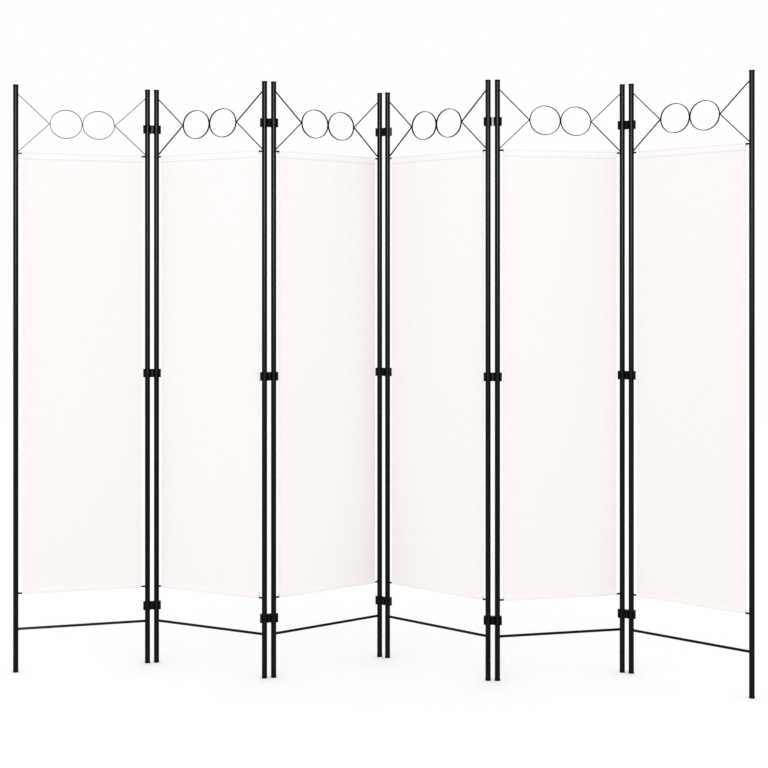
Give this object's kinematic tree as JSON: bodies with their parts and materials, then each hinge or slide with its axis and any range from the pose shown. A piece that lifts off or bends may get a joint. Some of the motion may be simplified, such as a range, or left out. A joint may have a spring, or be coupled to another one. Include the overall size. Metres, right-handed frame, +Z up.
{
  "type": "folding screen",
  "caption": "Free-standing folding screen of welded steel frames with plain fabric, an oval ring ornament above it, and plastic clips that let every corner fold flat.",
  "frame": {"origin": "On the floor, at the middle of the standing screen as seen from above.", "axes": "+Z is up, +X runs along the screen to the right as seen from its front, and the front faces -Y."},
  "size_m": [2.201, 0.4798, 1.8],
  "materials": {
    "frame_steel": "satin powder coat",
    "cap_plastic": "moulded, matte",
    "clip_plastic": "moulded, glossy",
    "fabric": "plain weave, off-white"
  },
  "bodies": {
    "panel_1": {"panel_1_left_tube": "frame_steel", "panel_1_right_tube": "frame_steel", "panel_1_lower_bar": "frame_steel", "panel_1_flat_bars": "frame_steel", "panel_1_fabric": "fabric", "panel_1_end_caps": "cap_plastic"},
    "panel_2": {"panel_2_left_tube": "frame_steel", "panel_2_right_tube": "frame_steel", "panel_2_lower_bar": "frame_steel", "panel_2_flat_bars": "frame_steel", "panel_2_fabric": "fabric", "panel_2_end_caps": "cap_plastic"},
    "panel_3": {"panel_3_left_tube": "frame_steel", "panel_3_right_tube": "frame_steel", "panel_3_lower_bar": "frame_steel", "panel_3_flat_bars": "frame_steel", "panel_3_fabric": "fabric", "panel_3_end_caps": "cap_plastic"},
    "panel_4": {"panel_4_left_tube": "frame_steel", "panel_4_right_tube": "frame_steel", "panel_4_lower_bar": "frame_steel", "panel_4_flat_bars": "frame_steel", "panel_4_fabric": "fabric", "panel_4_end_caps": "cap_plastic"},
    "panel_5": {"panel_5_left_tube": "frame_steel", "panel_5_right_tube": "frame_steel", "panel_5_lower_bar": "frame_steel", "panel_5_flat_bars": "frame_steel", "panel_5_fabric": "fabric", "panel_5_end_caps": "cap_plastic"},
    "panel_6": {"panel_6_left_tube": "frame_steel", "panel_6_right_tube": "frame_steel", "panel_6_lower_bar": "frame_steel", "panel_6_flat_bars": "frame_steel", "panel_6_fabric": "fabric", "panel_6_end_caps": "cap_plastic"},
    "clips_1": {"corner_1_clips": "clip_plastic"},
    "clips_2": {"corner_2_clips": "clip_plastic"},
    "clips_3": {"corner_3_clips": "clip_plastic"},
    "clips_4": {"corner_4_clips": "clip_plastic"},
    "clips_5": {"corner_5_clips": "clip_plastic"}
  },
  "joints": [
    {"name": "panel_3_left_tube_turn", "type": "hinge", "parent": "panel_3", "child": "clips_2", "pos_m": [-0.29705, -0.01375, 0.9], "axis": [0, 0, -1], "range_deg": [-111.5, 68.5]},
    {"name": "panel_2_right_tube_turn", "type": "hinge", "parent": "clips_2", "child": "panel_2", "pos_m": [-0.32401, -0.02133, 0.9], "axis": [0, 0, -1], "range_deg": [-132.8, 47.2]},
    {"name": "panel_2_left_tube_turn", "type": "hinge", "parent": "panel_2", "child": "clips_1", "pos_m": [-0.68009, 0.16089, 0.9], "axis": [0, 0, 1], "range_deg": [-130.4, 49.6]},
    {"name": "panel_1_right_tube_turn", "type": "hinge", "parent": "clips_1", "child": "panel_1", "pos_m": [-0.70734, 0.15445, 0.9], "axis": [0, 0, 1], "range_deg": [-92.5, 87.5]},
    {"name": "panel_3_right_tube_turn", "type": "hinge", "parent": "panel_3", "child": "clips_3", "pos_m": [0.02156, 0.22809, 0.9], "axis": [0, 0, -1], "range_deg": [-152.5, 27.5]},
    {"name": "panel_4_left_tube_turn", "type": "hinge", "parent": "clips_3", "child": "panel_4", "pos_m": [0.04688, 0.21612, 0.9], "axis": [0, 0, -1], "range_deg": [-105.7, 74.3]},
    {"name": "panel_4_right_tube_turn", "type": "hinge", "parent": "panel_4", "child": "clips_4", "pos_m": [0.34876, -0.0463, 0.9], "axis": [0, 0, 1], "range_deg": [-126.1, 53.9]},
    {"name": "panel_5_left_tube_turn", "type": "hinge", "parent": "clips_4", "child": "panel_5", "pos_m": [0.37666, -0.04869, 0.9], "axis": [0, 0, 1], "range_deg": [-108.2, 71.8]},
    {"name": "panel_5_right_tube_turn", "type": "hinge", "parent": "panel_5", "child": "clips_5", "pos_m": [0.76593, 0.04333, 0.9], "axis": [0, 0, -1], "range_deg": [-126.2, 53.8]},
    {"name": "panel_6_left_tube_turn", "type": "hinge", "parent": "clips_5", "child": "panel_6", "pos_m": [0.79172, 0.03243, 0.9], "axis": [0, 0, -1], "range_deg": [-108.4, 71.6]}
  ]
}
